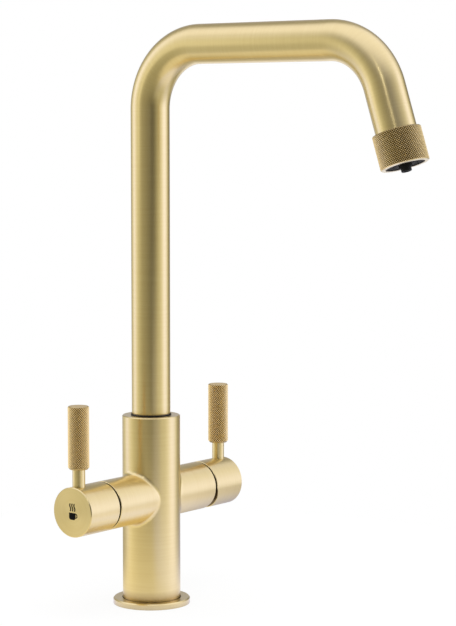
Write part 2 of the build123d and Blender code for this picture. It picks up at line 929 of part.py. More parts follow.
def stem_slot():
    """Room for the stem to tilt inside its holder."""
    swing = math.tan(math.radians(tilt_range))
    longest = max(holder_reach - pivot_reach, pivot_reach - holder_flange_low)
    half = mixer_stem_width / 2 / math.cos(math.radians(tilt_range)) + longest * swing + tilt_relief
    width = mixer_stem_width + 2 * stem_side_gap
    return prism(Rectangle(2 * half, width), holder_flange_low, holder_reach)


def pivot_hole():
    bore = pivot_pin_diameter / 2 + running_clearance
    return drill(bore, (0, -cartridge_diameter, pivot_reach), (0, cartridge_diameter, pivot_reach))


def mixer_lever_holder():
    """Turns with the lever for temperature, and carries the pin that the lever tilts on."""
    neck = shell_neck_bore / 2 - running_clearance
    flange = shell_bore / 2 - running_clearance
    holder = turned(
        (0, holder_flange_low),
        (flange, holder_flange_low),
        (flange, holder_flange_high),
        (neck, holder_flange_high),
        (neck, holder_reach),
        (0, holder_reach),
    )
    return mixer_arm * (holder - stem_slot() - pivot_hole())


def mixer_pivot_pin():
    half = shell_neck_bore / 2 - running_clearance - pin_end_gap
    pin = drill(pivot_pin_diameter / 2, (0, -half, pivot_reach), (0, half, pivot_reach))
    return mixer_arm * pin


def mixer_stem():
    """From a ball in the disc carrier, over the pivot pin, into the knob."""
    end = knob_hub + stem_in_knob - fit_gap
    corner_swing = mixer_stem_width / 2 * math.sin(math.radians(tilt_range))
    shank_low = holder_flange_low + corner_swing + tilt_relief
    stem = Pos(0, 0, ball_reach) * Sphere(ball_diameter / 2)
    stem += rod(mixer_neck_diameter / 2, ball_reach, shank_low)
    stem += prism(Rectangle(mixer_stem_width, mixer_stem_width), shank_low, end)
    return mixer_arm * (stem - pivot_hole())


def mixer_knob():
    """The lower half of the rim is cut back in a wedge, so that the knob can tilt on the arm."""
    width = mixer_stem_width + 2 * fit_gap
    knob = knob_blank() - prism(Rectangle(width, width), knob_rim, knob_hub + stem_in_knob)
    wedge_depth = 2 * arm_r * math.tan(math.radians(tilt_range + tilt_spare_angle))
    outline = Polyline(
        (0, 0, knob_rim),
        (-2 * arm_r, 0, knob_rim),
        (-2 * arm_r, 0, knob_rim + wedge_depth),
        close=True,
    )
    wedge = extrude(make_face(outline), amount=arm_r, both=True)
    return mixer_arm * (knob - wedge)


# The assembly: one named solid, or group of like solids, for each piece

nodes = {
    "tap_body": tap_body(),
    "base_ring": base_ring(),
    "base_seal": base_seal(),
    "mounting_shank": mounting_shank(),
    "rubber_washer": rubber_washer(),
    "steel_washer": steel_washer(),
    "backnut": backnut(),
    "glide_bush": glide_bush(),
    "stop_screw": stop_screw(),
    "swivel_spigot": swivel_spigot(),
    "spigot_o_rings": spigot_o_rings(),
    "spout_tube": spout_tube(),
    "boil_hose": boil_hose(),
    "boil_nipple": boil_nipple(),
    "boil_nipple_seal": boil_nipple_seal(),
    "nozzle_insert": nozzle_insert(),
    "nozzle_collar": nozzle_collar(),
    "aerator_seal": aerator_seal(),
    "aerator_body": aerator_body(),
    "aerator_grid": aerator_grid(),
    "boil_outlet": boil_outlet(),
    "boil_knob": boil_knob(),
    "boil_knob_screw": boil_arm * knob_screw(spindle_diameter / 2),
    "boil_lever_stem": Pos(-lever_reach, 0, 0) * lever_stem(),
    "boil_lever_grip": Pos(-lever_reach, 0, 0) * lever_grip(),
    "boil_valve_shell": boil_valve_shell(),
    "boil_lip_seal": boil_lip_seal(),
    "boil_fixed_disc": boil_fixed_disc(),
    "boil_moving_disc": boil_moving_disc(),
    "boil_spindle": boil_spindle(),
    "boil_spindle_seal": boil_spindle_seal(),
    "mixer_base_seals": mixer_base_seals(),
    "mixer_cartridge_base": mixer_cartridge_base(),
    "mixer_fixed_disc": mixer_fixed_disc(),
    "mixer_moving_disc": mixer_moving_disc(),
    "mixer_disc_carrier": mixer_disc_carrier(),
    "mixer_cartridge_shell": mixer_cartridge_shell(),
    "mixer_retaining_nut": mixer_retaining_nut(),
    "mixer_lever_holder": mixer_lever_holder(),
    "mixer_pivot_pin": mixer_pivot_pin(),
    "mixer_stem": mixer_stem(),
    "mixer_knob": mixer_knob(),
    "mixer_knob_screw": mixer_arm * knob_screw(mixer_stem_width / 2),
    "mixer_lever_stem": Pos(lever_reach, 0, 0) * lever_stem(),
    "mixer_lever_grip": Pos(lever_reach, 0, 0) * lever_grip(),
}

os.makedirs("parts", exist_ok=True)
for name, shape in nodes.items():
    solid = Compound(children=shape) if isinstance(shape, list) else shape
    export_step(solid, f"parts/{name}.step")
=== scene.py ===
import json
import math

import bpy
from mathutils import Matrix, Vector


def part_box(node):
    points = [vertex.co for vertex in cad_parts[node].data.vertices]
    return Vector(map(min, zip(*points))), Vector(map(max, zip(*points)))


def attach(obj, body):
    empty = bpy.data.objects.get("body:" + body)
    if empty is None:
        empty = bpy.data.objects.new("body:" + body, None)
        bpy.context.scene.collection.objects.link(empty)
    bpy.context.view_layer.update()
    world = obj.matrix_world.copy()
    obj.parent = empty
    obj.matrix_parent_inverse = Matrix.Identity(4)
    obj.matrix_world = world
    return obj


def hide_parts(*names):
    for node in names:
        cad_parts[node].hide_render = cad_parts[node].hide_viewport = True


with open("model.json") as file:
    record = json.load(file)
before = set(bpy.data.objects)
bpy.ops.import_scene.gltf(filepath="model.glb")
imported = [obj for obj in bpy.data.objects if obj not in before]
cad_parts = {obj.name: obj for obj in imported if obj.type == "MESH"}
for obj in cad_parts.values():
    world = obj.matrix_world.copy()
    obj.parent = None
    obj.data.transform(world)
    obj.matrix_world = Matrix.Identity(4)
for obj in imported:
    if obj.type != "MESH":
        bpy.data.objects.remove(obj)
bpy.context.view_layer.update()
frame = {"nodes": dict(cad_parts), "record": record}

nodes = frame["nodes"]

X_AXIS = Vector((1, 0, 0))
Z_AXIS = Vector((0, 0, 1))
WHITE = (1.0, 1.0, 1.0)
BLACK = (0.0, 0.0, 0.0)

# Sizes in metres, in the tap's own frame
ARM_HEIGHT = 0.0705
ARM_RADIUS = 0.01575
LEVER_REACH = 0.0712
KNOB_END = 0.0775
COLUMN_RADIUS = 0.01875
SOCKET_RADIUS = 0.0131
RING_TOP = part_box("base_ring")[1].z
SPOUT_HEIGHT = 0.3613
BEND_RADIUS = 0.0406
RUN_LENGTH = 0.09941
TAIL_LEAN = math.radians(17.8)
TAIL_LENGTH = 0.0275
TUBE_RADIUS = 0.0125
TUBE_BORE_RADIUS = 0.011
TUBE_EDGE = 0.0004
TUBE_IN_COLLAR = 0.004
TUBE_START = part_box("spout_tube")[0].z
COLLAR_RADIUS = 0.0148
COLLAR_LENGTH = 0.021
COLLAR_BORE_RADIUS = 0.0118
COLLAR_PLAY = 0.00005
COLLAR_EDGE = 0.0004
COLLAR_MOUTH_EDGE = 0.0006
COLLAR_LIP_RADIUS = 0.011
COLLAR_LIP_THICKNESS = 0.001
# Inner radius of the painted highlight on the collar's mouth
COLLAR_HIGHLIGHT_RADIUS = 0.0121
GRIP_RADIUS = 0.0067
GRIP_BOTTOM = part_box("boil_lever_grip")[0].z
GRIP_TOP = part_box("boil_lever_grip")[1].z
GRIP_BOTTOM_EDGE = 0.0011
GRIP_TOP_EDGE = 0.0006
GRIP_EDGE_INSET = 0.0003
# Width of the rim of painted shade round the grip's top
GRIP_DARK_RIM = 0.0004
GRIP_BORE_RADIUS = 0.00305
GRIP_BORE_DEPTH = 0.01405

# Camera, from a fit of the tap's outlines in the photograph
CAMERA_AZIMUTH = -0.8831
CAMERA_DISTANCE = 1.3629
CAMERA_HEIGHT = 0.3120
CAMERA_PITCH = 0.0896
CAMERA_PAN = -0.0366
CAMERA_NEAREST = 0.05
CAMERA_FARTHEST = 50.0
FOCAL_PIXELS = 2116.9
IMAGE_HEIGHT_PIXELS = 626
SENSOR_WIDTH = 36.0

# Level directions from the tap: towards the camera, and to the right of the picture
TOWARDS_CAMERA = Vector((math.sin(CAMERA_AZIMUTH), -math.cos(CAMERA_AZIMUTH), 0))
PICTURE_RIGHT = Vector((math.cos(CAMERA_AZIMUTH), math.sin(CAMERA_AZIMUTH), 0))


# Node helpers

# Most values of a noise lie in this span
NOISE_SPAN = (0.3, 0.7)
# Places of the mix node's two inputs and of its output, for each kind of value
MIX_PLACES = {"FLOAT": (2, 3, 0), "VECTOR": (4, 5, 1), "RGBA": (6, 7, 2)}


def empty_tree(owner, output_type):
    """The node tree of a material or a world with nothing but an output in it, and that output."""
    owner.use_nodes = True
    tree = owner.node_tree
    tree.nodes.clear()
    return tree, tree.nodes.new(output_type)


def new_material(name):
    """A material, its node tree and its shader."""
    material = bpy.data.materials.new(name)
    tree, output = empty_tree(material, "ShaderNodeOutputMaterial")
    shader = tree.nodes.new("ShaderNodeBsdfPrincipled")
    tree.links.new(shader.outputs[0], output.inputs[0])
    return material, tree, shader


def feed(tree, socket, value):
    """Links another node's output to a socket, or sets a constant on the socket itself."""
    if isinstance(value, bpy.types.NodeSocket):
        tree.links.new(value, socket)
    elif socket.type == "RGBA":
        socket.default_value = (*value, 1.0)
    else:
        socket.default_value = value


def feed_all(tree, node, values):
    """Feeds a node's inputs in their order."""
    for socket, value in zip(node.inputs, values):
        feed(tree, socket, value)


def math_node(tree, operation, *values):
    node = tree.nodes.new("ShaderNodeMath")
    node.operation = operation
    feed_all(tree, node, values)
    return node.outputs[0]


def vector_node(tree, operation, *values):
    node = tree.nodes.new("ShaderNodeVectorMath")
    node.operation = operation
    feed_all(tree, node, values)
    return node.outputs["Value" if operation in ("DOT_PRODUCT", "LENGTH") else "Vector"]


def combine(tree, *values):
    node = tree.nodes.new("ShaderNodeCombineXYZ")
    feed_all(tree, node, values)
    return node.outputs[0]


def separate(tree, vector):
    node = tree.nodes.new("ShaderNodeSeparateXYZ")
    tree.links.new(vector, node.inputs[0])
    return node.outputs


def noise(tree, vector, scale, detail):
    node = tree.nodes.new("ShaderNodeTexNoise")
    node.inputs["Scale"].default_value = scale
    node.inputs["Detail"].default_value = detail
    tree.links.new(vector, node.inputs["Vector"])
    return node.outputs["Fac"]


def ranged(tree, value, span, result=(0.0, 1.0)):
    """Carries a value from its place in a span to the same place in the result, and keeps it in there."""
    node = tree.nodes.new("ShaderNodeMapRange")
    node.inputs["From Min"].default_value, node.inputs["From Max"].default_value = span
    node.inputs["To Min"].default_value, node.inputs["To Max"].default_value = result
    tree.links.new(value, node.inputs["Value"])
    return node.outputs["Result"]


def mix(tree, kind, factor, first, second):
    """The first value where the factor is 0, the second where it is 1."""
    node = tree.nodes.new("ShaderNodeMix")
    node.data_type = kind
    first_place, second_place, result_place = MIX_PLACES[kind]
    tree.links.new(factor, node.inputs[0])
    feed(tree, node.inputs[first_place], first)
    feed(tree, node.inputs[second_place], second)
    return node.outputs[result_place]


def mix_color(tree, factor, first, second):
    return mix(tree, "RGBA", factor, first, second)


def bump(tree, height, strength, distance):
    node = tree.nodes.new("ShaderNodeBump")
    node.inputs["Strength"].default_value = strength
    node.inputs["Distance"].default_value = distance
    tree.links.new(height, node.inputs["Height"])
    return node.outputs[0]


def object_position(tree):
    return tree.nodes.new("ShaderNodeTexCoord").outputs["Object"]


def set_surface(tree, shader, color, roughness, normal):
    tree.links.new(color, shader.inputs["Base Color"])
    tree.links.new(roughness, shader.inputs["Roughness"])
    tree.links.new(normal, shader.inputs["Normal"])


# Brass, brushed round an axis as it comes off a lathe and a polishing belt, under clear lacquer

BRASS_PALE = (0.870, 0.700, 0.325)
BRASS_DEEP = (0.840, 0.665, 0.300)
BRASS_ROUGHNESS = (0.285, 0.335)
BRASS_ANISOTROPY = 0.5
QUARTER_TURN = 0.25
LACQUER_WEIGHT = 0.30
LACQUER_ROUGHNESS = 0.16

# Brush lines: how many to the metre and how detailed, and how much they change on their way round
FINE_LINES = (7000.0, 2.0)
BROAD_LINES = (900.0, 3.0)
LINE_WANDER = 0.6
FINE_SHARE = 0.7
BROAD_SHARE = 0.3
LINE_BUMP = (0.025, 0.00003)
AXIS_CLEARANCE = 0.0005
BRUSH_MAP = "Brush"

# Painted shade: dark seams where ambient occlusion finds gaps, the column's foot above the ring, and inner
# faces in the gaps
SEAM_SHADE_COLOR = (0.10, 0.065, 0.022)
SEAM_SHADE_DEPTH = 0.006
SEAM_SHADE_SAMPLES = 6
SEAM_SHADE_SPAN = (0.05, 0.58)
FOOT_SHADE_COLOR = (0.48, 0.33, 0.12)
FOOT_SHADE_SPAN = (RING_TOP, RING_TOP + 0.0068)
INSIDE_SHADE_COLOR = (0.20, 0.14, 0.06)
SKIN_AT_WALL = 0.0004
SKIN_AT_END = 0.0006
SOCKET_CLEARANCE = 0.0002
EDGE_BLEND = 0.0001

# From the column outwards, its brush lines change to those of the arms in this span
ARM_ROOT_SPAN = (COLUMN_RADIUS + 0.0008, COLUMN_RADIUS + 0.0035)


def brushing(tree, along, around_x, around_y):
    """Fine and broad brush lines from a length across the lines and a place round the axis."""
    layers = []
    for count, detail in (FINE_LINES, BROAD_LINES):
        place = combine(
            tree,
            math_node(tree, "MULTIPLY", along, count),
            math_node(tree, "MULTIPLY", around_x, LINE_WANDER),
            math_node(tree, "MULTIPLY", around_y, LINE_WANDER),
        )
        layers.append(noise(tree, place, 1.0, detail))
    return layers


def finish_brass(tree, shader, fine, broad, inside_shade=None, foot_shade=None):
    """Color with painted shade in the seams, brushed roughness and lacquer. The inside share is 1 on inner
    faces that get painted shade, and the foot share is 1 where painted shade darkens the column's foot."""
    brushed = mix_color(tree, ranged(tree, broad, NOISE_SPAN), BRASS_DEEP, BRASS_PALE)
    # Painted shade on the column's foot
    if foot_shade is not None:
        brushed = mix_color(tree, foot_shade, brushed, FOOT_SHADE_COLOR)
    # Painted shade on inner faces in the gaps
    if inside_shade is not None:
        brushed = mix_color(tree, inside_shade, brushed, INSIDE_SHADE_COLOR)
    # Painted shade in seams and gaps, found by ambient occlusion
    open_sky = tree.nodes.new("ShaderNodeAmbientOcclusion")
    open_sky.inputs["Distance"].default_value = SEAM_SHADE_DEPTH
    open_sky.samples = SEAM_SHADE_SAMPLES
    clear = ranged(tree, open_sky.outputs["AO"], SEAM_SHADE_SPAN)
    fine_part = math_node(tree, "MULTIPLY", fine, FINE_SHARE)
    broad_part = math_node(tree, "MULTIPLY", broad, BROAD_SHARE)
    lines = math_node(tree, "ADD", fine_part, broad_part)
    set_surface(
        tree,
        shader,
        mix_color(tree, clear, SEAM_SHADE_COLOR, brushed),
        ranged(tree, lines, NOISE_SPAN, BRASS_ROUGHNESS),
        bump(tree, lines, *LINE_BUMP),
    )
    shader.inputs["Metallic"].default_value = 1.0
    shader.inputs["Anisotropic"].default_value = BRASS_ANISOTROPY
    shader.inputs["Anisotropic Rotation"].default_value = QUARTER_TURN
    shader.inputs["Coat Weight"].default_value = LACQUER_WEIGHT
    shader.inputs["Coat Roughness"].default_value = LACQUER_ROUGHNESS


def round_axis(tree, position, axis, centre):
    """Places along the axis and out from it, places round it, and the direction of the brush lines."""
    offset = vector_node(tree, "SUBTRACT", position, centre)
    axial = vector_node(tree, "DOT_PRODUCT", offset, axis)
    side_x = X_AXIS if axis == Z_AXIS else Z_AXIS
    side_y = axis.cross(side_x)
    across_x = vector_node(tree, "DOT_PRODUCT", offset, side_x)
    across_y = vector_node(tree, "DOT_PRODUCT", offset, side_y)
    out = vector_node(tree, "LENGTH", combine(tree, across_x, across_y, 0.0))
    clear_of_axis = math_node(tree, "MAXIMUM", out, AXIS_CLEARANCE)
    around_x = math_node(tree, "DIVIDE", across_x, clear_of_axis)
    around_y = math_node(tree, "DIVIDE", across_y, clear_of_axis)
    lines = vector_node(tree, "CROSS_PRODUCT", axis, offset)
    return axial, out, around_x, around_y, vector_node(tree, "NORMALIZE", lines)


def follow_lines(tree, shader, lines):
    """The highlight spreads across the brush lines."""
    to_world = tree.nodes.new("ShaderNodeVectorTransform")
    to_world.vector_type = "VECTOR"
    to_world.convert_from = "OBJECT"
    to_world.convert_to = "WORLD"
    tree.links.new(lines, to_world.inputs[0])
    tree.links.new(to_world.outputs[0], shader.inputs["Tangent"])


def under(tree, value, limit):
    """1 where a length is under a limit, 0 where it is over."""
    return ranged(tree, value, (limit - EDGE_BLEND, limit), (1.0, 0.0))


def turned_brass(name, axis, centre, outer_radius=None, outer_end=None):
    """Brass brushed round the given axis: rings on round walls, circles on end faces.
    With an outer radius and end, whatever lies inside them gets painted shade, as inner faces in a gap."""
    material, tree, shader = new_material(name)
    axial, out, around_x, around_y, lines = round_axis(tree, object_position(tree), axis, centre)
    fine, broad = brushing(tree, math_node(tree, "ADD", axial, out), around_x, around_y)
    inside_shade = None
    if outer_radius is not None:
        # Painted shade on inner faces within the outer radius and end
        in_wall = under(tree, out, outer_radius - SKIN_AT_WALL)
        behind_end = under(tree, math_node(tree, "ABSOLUTE", axial), outer_end - SKIN_AT_END)
        inside_shade = math_node(tree, "MULTIPLY", in_wall, behind_end)
    finish_brass(tree, shader, fine, broad, inside_shade)
    follow_lines(tree, shader, lines)
    return material


def body_brass(name, column, arm):
    """The casting: brushed round the column, and round the arms where they stand clear of it."""
    material, tree, shader = new_material(name)
    position = object_position(tree)
    x, y, z = separate(tree, position)
    from_column = vector_node(tree, "LENGTH", combine(tree, x, y, 0.0))
    on_arm = ranged(tree, from_column, ARM_ROOT_SPAN)
    patterns = []
    directions = []
    distances = []
    for axis, centre in (column, arm):
        axial, out, around_x, around_y, lines = round_axis(tree, position, axis, centre)
        patterns.append(brushing(tree, math_node(tree, "ADD", axial, out), around_x, around_y))
        directions.append(lines)
        distances.append(out)
    fine, broad = [mix(tree, "FLOAT", on_arm, first, second) for first, second in zip(*patterns)]
    # Painted shade on the inner faces of the arms' ends and of the column's socket
    in_arm = math_node(tree, "MULTIPLY", under(tree, distances[1], ARM_RADIUS - SKIN_AT_WALL), on_arm)
    in_socket = under(tree, distances[0], SOCKET_RADIUS + SOCKET_CLEARANCE)
    inside_shade = math_node(tree, "MAXIMUM", in_arm, in_socket)
    # Painted shade on the column's foot, darkest at the ring's top
    foot_shade = ranged(tree, z, FOOT_SHADE_SPAN, (1.0, 0.0))
    finish_brass(tree, shader, fine, broad, inside_shade, foot_shade)
    follow_lines(tree, shader, mix(tree, "VECTOR", on_arm, *directions))
    return material


def tube_brass(name):
    """Brass brushed round a bent tube: the mesh's map runs round it and along it, in metres."""
    material, tree, shader = new_material(name)
    place = tree.nodes.new("ShaderNodeUVMap")
    place.uv_map = BRUSH_MAP
    round_tube, along, _ = separate(tree, place.outputs[0])
    turn = math_node(tree, "MULTIPLY", round_tube, 1.0 / TUBE_RADIUS)
    around_x = math_node(tree, "COSINE", turn)
    around_y = math_node(tree, "SINE", turn)
    fine, broad = brushing(tree, along, around_x, around_y)
    finish_brass(tree, shader, fine, broad)
    tangent = tree.nodes.new("ShaderNodeTangent")
    tangent.direction_type = "UV_MAP"
    tangent.uv_map = BRUSH_MAP
    tree.links.new(tangent.outputs[0], shader.inputs["Tangent"])
    return material


# Knurled brass, other metals and moulded materials. Each bump is a strength and a distance in metres

# Knurl levels: painted shade in the grooves, worn brass on the points, and a pale painted highlight well over
# 1
WEAR_AND_PAINTED_LIGHT_ATTRIBUTE = "knurl_height"
GROOVE_SHADE_COLOR = (0.055, 0.031, 0.009)
WORN_COLOR = (1.0, 0.78, 0.38)
HIGHLIGHT_COLOR = (1.0, 0.90, 0.66)
HIGHLIGHT_SPAN = (1.2, 1.5)
KNURL_ROUGHNESS = (0.55, 0.40)
KNURL_GRAIN_SCALE = 2500.0
KNURL_GRAIN_SHARE = 0.12
KNURL_BUMP = (0.08, 0.00003)
TOOL_MARK_SCALES = Vector((300.0, 300.0, 5000.0))
TOOL_MARK_BUMP = (0.12, 0.00004)
METAL_CLOUD_SCALE = 90.0
MOULDED_CLOUD_SCALE = 120.0
MOULDED_BUMP = (0.15, 0.00005)
CLOUD_DETAIL = 4.0
GRAIN_DETAIL = 3.0
ROUGHNESS_SPREAD = 0.08


def knurl_brass(name, worn_span):
    """Knurled brass: painted shade, dark brown, in the grooves, worn bright on the points, and a pale painted
    highlight where the level is well over 1."""
    material, tree, shader = new_material(name)
    wear_and_painted_light = tree.nodes.new("ShaderNodeAttribute")
    wear_and_painted_light.attribute_name = WEAR_AND_PAINTED_LIGHT_ATTRIBUTE
    grain = noise(tree, object_position(tree), KNURL_GRAIN_SCALE, GRAIN_DETAIL)
    uneven = math_node(tree, "MULTIPLY", grain, KNURL_GRAIN_SHARE)
    level = math_node(tree, "ADD", wear_and_painted_light.outputs["Fac"], uneven)
    worn = ranged(tree, level, worn_span)
    # Painted shade in the grooves, worn brass on the points
    color = mix_color(tree, worn, GROOVE_SHADE_COLOR, WORN_COLOR)
    # A pale painted highlight where the level is well over 1
    color = mix_color(tree, ranged(tree, level, HIGHLIGHT_SPAN), color, HIGHLIGHT_COLOR)
    rough = ranged(tree, worn, (0.0, 1.0), KNURL_ROUGHNESS)
    set_surface(tree, shader, color, rough, bump(tree, grain, *KNURL_BUMP))
    shader.inputs["Metallic"].default_value = 1.0
    return material


def rough_about(tree, roughness, pattern):
    """A roughness that a noise varies a little."""
    span = (roughness - ROUGHNESS_SPREAD, roughness + ROUGHNESS_SPREAD)
    return ranged(tree, pattern, NOISE_SPAN, span)


def machined_metal(name, pale, deep, roughness):
    """Plain turned or stamped metal with faint tool marks, for the pieces out of sight."""
    material, tree, shader = new_material(name)
    place = object_position(tree)
    marks = noise(tree, vector_node(tree, "MULTIPLY", place, TOOL_MARK_SCALES), 1.0, GRAIN_DETAIL)
    clouds = noise(tree, place, METAL_CLOUD_SCALE, CLOUD_DETAIL)
    color = mix_color(tree, ranged(tree, clouds, NOISE_SPAN), deep, pale)
    rough = rough_about(tree, roughness, marks)
    set_surface(tree, shader, color, rough, bump(tree, marks, *TOOL_MARK_BUMP))
    shader.inputs["Metallic"].default_value = 1.0
    return material


def moulded(name, pale, deep, roughness, grain_scale, specular=0.5):
    """Rubber, plastic, silicone, enamel or ceramic with a fine grain and slight cloudiness."""
    material, tree, shader = new_material(name)
    place = object_position(tree)
    clouds = noise(tree, place, MOULDED_CLOUD_SCALE, CLOUD_DETAIL)
    grain = noise(tree, place, grain_scale, GRAIN_DETAIL)
    color = mix_color(tree, ranged(tree, clouds, NOISE_SPAN), deep, pale)
    rough = rough_about(tree, roughness, grain)
    set_surface(tree, shader, color, rough, bump(tree, grain, *MOULDED_BUMP))
    shader.inputs["Specular IOR Level"].default_value = specular
    return material


# Materials of the tap. Each axis is a direction and a point on it

COLUMN_AXIS = (Z_AXIS, Vector((0, 0, 0)))
ARM_AXIS = (X_AXIS, Vector((0, 0, ARM_HEIGHT)))
BOIL_LEVER_AXIS = (Z_AXIS, Vector((-LEVER_REACH, 0, 0)))
MIXER_LEVER_AXIS = (Z_AXIS, Vector((LEVER_REACH, 0, 0)))

casting_brass = body_brass("brass_casting", COLUMN_AXIS, ARM_AXIS)
column_brass = turned_brass("brass_column", *COLUMN_AXIS)
arm_brass = turned_brass("brass_arm", *ARM_AXIS, ARM_RADIUS, KNOB_END)
boil_stem_brass = turned_brass("brass_boil_stem", *BOIL_LEVER_AXIS)
mixer_stem_brass = turned_brass("brass_mixer_stem", *MIXER_LEVER_AXIS)
spout_brass = tube_brass("brass_spout")
grip_brass = knurl_brass("brass_knurled", (0.24, 0.42))
collar_brass = knurl_brass("brass_knurled_collar", (0.36, 0.86))
# A dark copy of the machined brass: painted shade on the pieces seen only through gaps
inner_shaded_brass = machined_metal("brass_inner_shaded", (0.30, 0.225, 0.11), (0.22, 0.16, 0.075), 0.48)
raw_brass = machined_metal("brass_machined", (0.76, 0.61, 0.33), (0.66, 0.51, 0.26), 0.36)
steel = machined_metal("steel_plain", (0.62, 0.62, 0.61), (0.50, 0.50, 0.49), 0.32)
rubber = moulded("rubber_black", (0.030, 0.030, 0.030), (0.018, 0.018, 0.018), 0.70, 3000.0)
black_plastic = moulded("plastic_black", (0.016, 0.015, 0.014), (0.009, 0.009, 0.008), 0.42, 4000.0, 0.20)
grey_plastic = moulded("plastic_grey", (0.14, 0.14, 0.14), (0.10, 0.10, 0.10), 0.45, 4000.0)
silicone = moulded("silicone_milky", (0.76, 0.75, 0.71), (0.68, 0.67, 0.63), 0.42, 2500.0)
ceramic = moulded("ceramic_ground", (0.88, 0.87, 0.83), (0.82, 0.81, 0.77), 0.25, 6000.0)
enamel = moulded("enamel_black", (0.008, 0.007, 0.006), (0.004, 0.004, 0.003), 0.60, 5000.0, 0.05)
aerator_black = moulded("aerator_black", (0.015, 0.013, 0.009), (0.008, 0.007, 0.005), 0.50, 3500.0, 0.03)

slot_materials = {
    "satin_brass": column_brass,
    "knurled_brass": grip_brass,
    "raw_brass": raw_brass,
    "steel": steel,
    "rubber": rubber,
    "black_plastic": black_plastic,
    "grey_plastic": grey_plastic,
    "hose_silicone": silicone,
    "ceramic": ceramic,
}
node_materials = {
    "tap_body": casting_brass,
    "boil_knob": arm_brass,
    "mixer_knob": arm_brass,
    "boil_lever_stem": boil_stem_brass,
    "mixer_lever_stem": mixer_stem_brass,
    "aerator_body": aerator_black,
    "aerator_grid": aerator_black,
    "boil_valve_shell": inner_shaded_brass,
    "boil_spindle": inner_shaded_brass,
    "mixer_retaining_nut": inner_shaded_brass,
    "mixer_lever_holder": inner_shaded_brass,
    "mixer_stem": inner_shaded_brass,
}


def dress_cad_nodes():
    """Every node gets its own material where it has one, and otherwise that of its slot."""
    for row in frame["record"]["subparts"]:
        material = node_materials.get(row["node"], slot_materials[row["material_slot"]])
        for place in nodes[row["node"]].material_slots:
            place.material = material


# Mesh helpers

SHARP_ANGLE = math.radians(40)
KNURL_SHARP_ANGLE = math.radians(35)


def mesh_piece(name, vertices, faces, material, body, sharp_angle=SHARP_ANGLE):
    mesh = bpy.data.meshes.new(name)
    mesh.from_pydata(vertices, [], faces)
    mesh.validate()
    mesh.update()
    mesh.shade_smooth()
    mesh.set_sharp_from_angle(angle=sharp_angle)
    mesh.materials.append(material)
    piece = bpy.data.objects.new(name, mesh)
    bpy.context.scene.collection.objects.link(piece)
    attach(piece, body)
    return piece


def ring_faces(rings, count):
    """Quads between rings of vertices that follow each other, and from the last ring back to the first."""
    faces = []
    for ring in range(rings):
        low = ring * count
        high = ((ring + 1) % rings) * count
        for i in range(count):
            j = (i + 1) % count
            faces.append((low + i, low + j, high + j, high + i))
    return faces


# Spout tube

TUBE_SEGMENTS = 96
TUBE_EDGE_STEPS = 4
STRAIGHT_STEP = 0.003
BEND_STEP = math.radians(2.5)


def add_point(line, place, direction):
    """A line's points are places, each with a direction and its length from the start."""
    before, _, length = line[-1]
    line.append((place, direction, length + (place - before).length))


def go_straight(line, distance):
    start, direction, _ = line[-1]
    count = round(distance / STRAIGHT_STEP)
    for i in range(1, count + 1):
        add_point(line, start + direction * (distance * i / count), direction)


def go_round(line, turn):
    """A bend in the spout's plane, from upright forwards and down."""
    start, direction, _ = line[-1]
    inward = X_AXIS.cross(direction)
    count = round(turn / BEND_STEP)
    for i in range(1, count + 1):
        sine = math.sin(turn * i / count)
        cosine = math.cos(turn * i / count)
        place = start + (direction * sine + inward * (1 - cosine)) * BEND_RADIUS
        add_point(line, place, direction * cosine + inward * sine)


def spout_line():
    """The spout's centreline, from its lower end in the column to its end in the collar."""
    line = [(Vector((0, 0, TUBE_START)), Z_AXIS, 0.0)]
    go_straight(line, SPOUT_HEIGHT - BEND_RADIUS - TUBE_START)
    go_round(line, math.pi / 2)
    go_straight(line, RUN_LENGTH)
    go_round(line, math.pi / 2 - TAIL_LEAN)
    go_straight(line, TAIL_LENGTH + TUBE_IN_COLLAR)
    return line


def nozzle_frame():
    """The nozzle's own frame: its z runs out of the spout from the collar's upper end."""
    end, direction, _ = spout_line()[-1]
    turn = Matrix((X_AXIS, direction.cross(X_AXIS), direction)).transposed().to_4x4()
    return Matrix.Translation(end - direction * TUBE_IN_COLLAR) @ turn


def spout_piece():
    """The tube: up a rounded lower edge, along the outside, round the end and back along the bore."""
    line = spout_line()
    vertices = []
    lengths = []

    def ring(place, direction, radius, length):
        y_axis = direction.cross(X_AXIS)
        for i in range(TUBE_SEGMENTS):
            angle = 2 * math.pi * i / TUBE_SEGMENTS
            vertices.append(place + (X_AXIS * math.cos(angle) + y_axis * math.sin(angle)) * radius)
        lengths.append(length)

    start, start_direction, _ = line[0]
    for i in range(TUBE_EDGE_STEPS + 1):
        angle = math.pi / 2 * i / TUBE_EDGE_STEPS
        rise = TUBE_EDGE * (1 - math.cos(angle))
        inset = TUBE_EDGE * (1 - math.sin(angle))
        ring(start + start_direction * rise, start_direction, TUBE_RADIUS - inset, rise)
    for place, direction, length in line[1:]:
        ring(place, direction, TUBE_RADIUS, length)
    end, end_direction, end_length = line[-1]
    ring(end, end_direction, TUBE_BORE_RADIUS, end_length + TUBE_RADIUS - TUBE_BORE_RADIUS)
    for place, direction, length in reversed(line):
        ring(place, direction, TUBE_BORE_RADIUS, length)
    faces = ring_faces(len(lengths), TUBE_SEGMENTS)
    piece = mesh_piece("spout_tube_brushed", vertices, faces, spout_brass, "spout")
    map_brushing(piece.data, lengths)
    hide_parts("spout_tube")
    return piece


